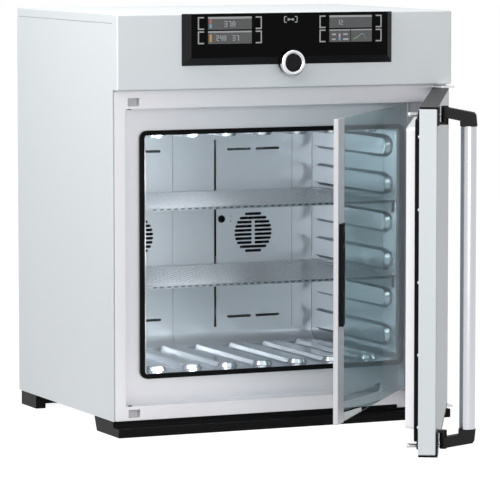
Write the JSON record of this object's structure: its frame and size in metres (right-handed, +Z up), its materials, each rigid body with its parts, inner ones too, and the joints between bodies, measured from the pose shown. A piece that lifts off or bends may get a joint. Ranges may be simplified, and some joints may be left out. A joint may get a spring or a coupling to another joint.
{
  "type": "refrigerated_incubator",
  "caption": "Bench-top refrigerated incubator: solid outer door with tube handle, inner glass door, ribbed stainless chamber, perforated shelves, touch panel with push dial",
  "frame": {"origin": "on the underside of the front base rail, below the front face of the door frame, midway across the width", "axes": "+X to the right seen from the front, +Y to the back, +Z up; both doors stand open as pictured"},
  "size_m": [0.745, 1.2736, 0.8457],
  "materials": {
    "coat": "structured light grey powder coat",
    "steel": "satin stainless sheet",
    "chamber": "semi-bright stainless",
    "black": "fine textured",
    "rubber": "matt",
    "tube": "satin anodised",
    "chrome": "polished",
    "pane": "clear, slightly tinted",
    "gloss": "black printed, glossy",
    "screen": "dim display",
    "wool": "mineral wool",
    "sink": "extruded",
    "ceramic": "white ceramic",
    "board": "circuit laminate",
    "edge": "anodised profile"
  },
  "bodies": {
    "cabinet": {"side_panel_left": "coat", "side_panel_right": "coat", "top_cover": "coat", "fascia": "coat", "bottom_pan": "steel", "rear_panel": "steel", "front_frame": "steel", "electronics_tray": "steel", "cooling_cover": "steel", "chamber_liner": "chamber", "back_panel_left": "chamber", "back_panel_right": "chamber", "mains_inlet": "black", "base_rail_front": "black", "rear_base": "black", "temperature_sensor": "black", "chamber_fan_motor_left": "black", "chamber_fan_motor_right": "black", "rear_fan_frame": "black", "panel_bezel": "black", "dial_collar": "black", "hinge_plate_top": "black", "hinge_plate_bottom": "black", "chamber_seal": "rubber", "panel_glass": "gloss", "display_module": "screen", "insulation": "wool", "power_supply": "sink", "cold_sink": "sink", "hot_sink": "sink", "peltier_module_left": "ceramic", "peltier_module_right": "ceramic", "control_board": "board"},
    "outer_door": {"door_shell": "coat", "door_cap_bottom": "black", "door_cap_top": "black", "door_inner_panel": "steel", "door_insulation": "wool", "door_seal": "rubber", "handle_bracket_top": "black", "handle_bracket_bottom": "black"},
    "lever": {"handle_arm_top": "black", "handle_arm_bottom": "black", "handle_tube": "tube", "latch_rod_top": "steel", "latch_rod_bottom": "steel"},
    "glass_door": {"glass_pane": "pane", "glass_profile": "edge", "glass_grip": "black", "glass_clip_top": "steel", "glass_clip_bottom": "steel"},
    "upper_shelf": {"shelf_upper": "steel"},
    "lower_shelf": {"shelf_lower": "steel"},
    "dial_plunger": {"dial_shaft": "tube"},
    "dial": {"dial_ring": "chrome", "dial_cap": "black"},
    "chamber_fan_left": {"chamber_fan_left": "black"},
    "chamber_fan_right": {"chamber_fan_right": "black"},
    "rear_fan_left": {"rear_fan_left": "black"},
    "rear_fan_right": {"rear_fan_right": "black"}
  },
  "joints": [
    {"name": "outer_door_hinge", "type": "hinge", "parent": "cabinet", "child": "outer_door", "pos_m": [0.351, -0.033, 0.357], "axis": [0, 0, 1], "range_deg": [-61, 59]},
    {"name": "glass_door_hinge", "type": "hinge", "parent": "cabinet", "child": "glass_door", "pos_m": [0.3, 0.036, 0.35755], "axis": [0, 0, 1], "range_deg": [-50.4, 48.8]},
    {"name": "lever_pivot", "type": "hinge", "parent": "outer_door", "child": "lever", "pos_m": [0.03986, -0.6403, 0.357], "axis": [0, 0, 1], "range_deg": [-10, 0]},
    {"name": "upper_shelf_slide", "type": "slide", "parent": "cabinet", "child": "upper_shelf", "axis": [0, -1, 0], "range_m": [0, 0.016]},
    {"name": "lower_shelf_slide", "type": "slide", "parent": "cabinet", "child": "lower_shelf", "axis": [0, -1, 0], "range_m": [0, 0.016]},
    {"name": "dial_push", "type": "slide", "parent": "cabinet", "child": "dial_plunger", "axis": [0, 1, 0], "range_m": [0, 0.002], "stiffness_N_per_m": 800},
    {"name": "dial_turn", "type": "hinge", "parent": "dial_plunger", "child": "dial", "pos_m": [0, -0.0445, 0.745], "axis": [0, 1, 0], "continuous": true},
    {"name": "chamber_fan_spin_left", "type": "hinge", "parent": "cabinet", "child": "chamber_fan_left", "pos_m": [-0.1395, 0.468, 0.356], "axis": [0, 1, 0], "continuous": true},
    {"name": "chamber_fan_spin_right", "type": "hinge", "parent": "cabinet", "child": "chamber_fan_right", "pos_m": [0.1395, 0.468, 0.356], "axis": [0, 1, 0], "continuous": true},
    {"name": "rear_fan_spin_left", "type": "hinge", "parent": "cabinet", "child": "rear_fan_left", "pos_m": [-0.1395, 0.5786, 0.356], "axis": [0, 1, 0], "continuous": true},
    {"name": "rear_fan_spin_right", "type": "hinge", "parent": "cabinet", "child": "rear_fan_right", "pos_m": [0.1395, 0.5786, 0.356], "axis": [0, 1, 0], "continuous": true}
  ],
  "couplings": [
    {"joint": "glass_door_hinge", "follows": "outer_door_hinge", "ratio": 0.82623}
  ]
}
